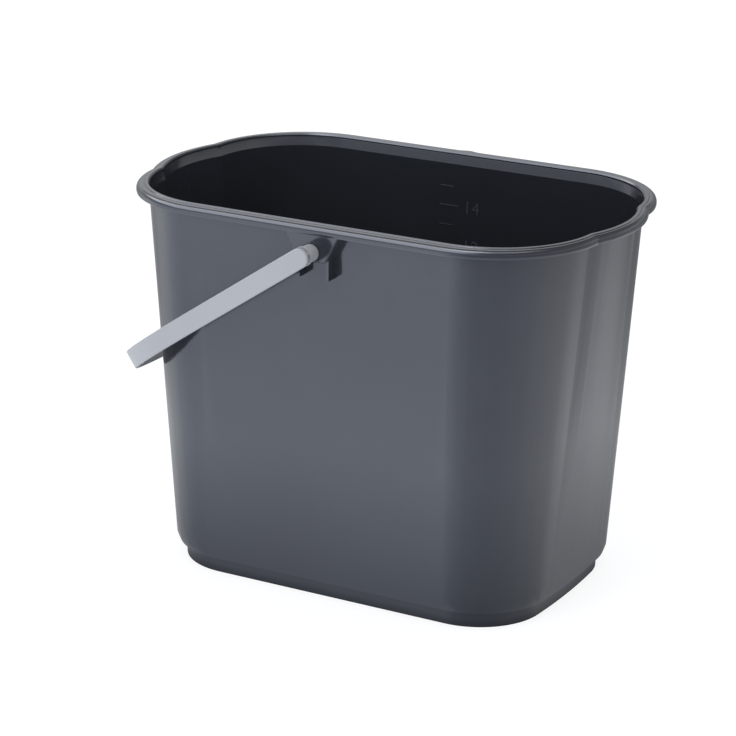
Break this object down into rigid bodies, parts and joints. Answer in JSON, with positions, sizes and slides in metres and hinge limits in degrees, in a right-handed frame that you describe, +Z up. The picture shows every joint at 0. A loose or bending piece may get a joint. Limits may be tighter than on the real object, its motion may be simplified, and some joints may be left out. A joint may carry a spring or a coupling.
{
  "type": "bucket",
  "caption": "Oblong tapered plastic bucket with lobed end panels, a rolled rim, moulded pivot brackets and a flat strip bail that swings over the mouth",
  "frame": {"origin": "Centre of the foot ring, in the plane the bucket stands on", "axes": "+X along the bucket's long sides, the bail hanging towards -X; +Y towards the long side with the litre scale inside; +Z up, through the open mouth"},
  "size_m": [0.3897, 0.275, 0.2855],
  "materials": {
    "anthracite_plastic": "satin moulded",
    "silver_plastic": "satin moulded"
  },
  "bodies": {
    "bucket": {"bucket_body": "anthracite_plastic"},
    "bail": {"bail": "silver_plastic"}
  },
  "joints": [
    {"name": "bail_swing", "type": "hinge", "parent": "bucket", "child": "bail", "pos_m": [0, 0, 0.2667], "axis": [0, 1, 0], "range_deg": [0, 248.4]}
  ]
}
